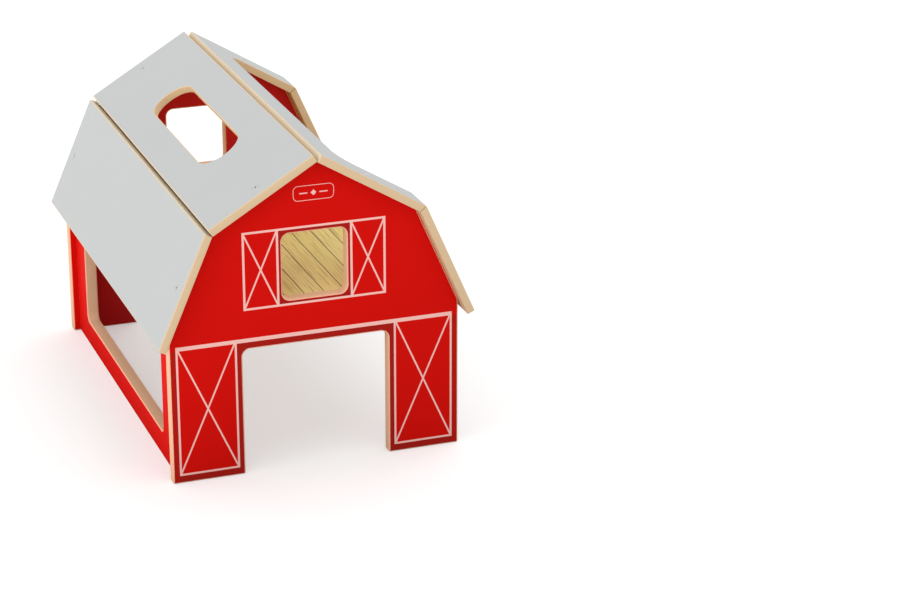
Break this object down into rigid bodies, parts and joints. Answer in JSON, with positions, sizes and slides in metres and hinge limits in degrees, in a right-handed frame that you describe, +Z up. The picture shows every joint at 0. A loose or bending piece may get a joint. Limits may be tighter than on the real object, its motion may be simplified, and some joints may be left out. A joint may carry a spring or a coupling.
{
  "type": "toy barn",
  "caption": "Wooden toy barn with a doorway and a window in its gables, a side wall, a loft floor and a gambrel roof with a skylight, open on the other side for play.",
  "frame": {"origin": "on the ground, under the middle of the roof's box", "axes": "+Z up; the front gable faces -Y; +Y runs along the ridge to the rear gable; +X points to the open side"},
  "size_m": [0.3284, 0.48, 0.3319],
  "materials": {
    "red_board": "wood board, both faces printed satin red, eased edges left bare",
    "grey_board": "thin wood board, outer face painted satin pale grey, underside and edges left bare",
    "plank_board": "wood board with a printed plank pattern in yellow tan",
    "dowel_wood": "plain turned dowel",
    "screw_steel": "zinc-plated countersunk screw"
  },
  "bodies": {
    "root": {"front_gable": "red_board", "rear_gable": "red_board", "left_wall": "red_board", "loft_floor": "plank_board", "roof_upper_left": "grey_board", "roof_upper_right": "grey_board", "roof_lower_left": "grey_board", "roof_lower_right": "grey_board", "screw_upper_left_front": "screw_steel", "screw_upper_left_rear": "screw_steel", "screw_upper_right_front": "screw_steel", "screw_upper_right_rear": "screw_steel", "screw_lower_left_front": "screw_steel", "screw_lower_left_rear": "screw_steel", "screw_lower_right_front": "screw_steel", "screw_lower_right_rear": "screw_steel", "dowel_wall_front_low": "dowel_wood", "dowel_wall_front_high": "dowel_wood", "dowel_wall_rear_low": "dowel_wood", "dowel_wall_rear_high": "dowel_wood", "dowel_loft_front_left": "dowel_wood", "dowel_loft_front_right": "dowel_wood", "dowel_loft_rear_left": "dowel_wood", "dowel_loft_rear_right": "dowel_wood", "dowel_wall_top_front": "dowel_wood", "dowel_wall_top_rear": "dowel_wood"}
  },
  "joints": []
}
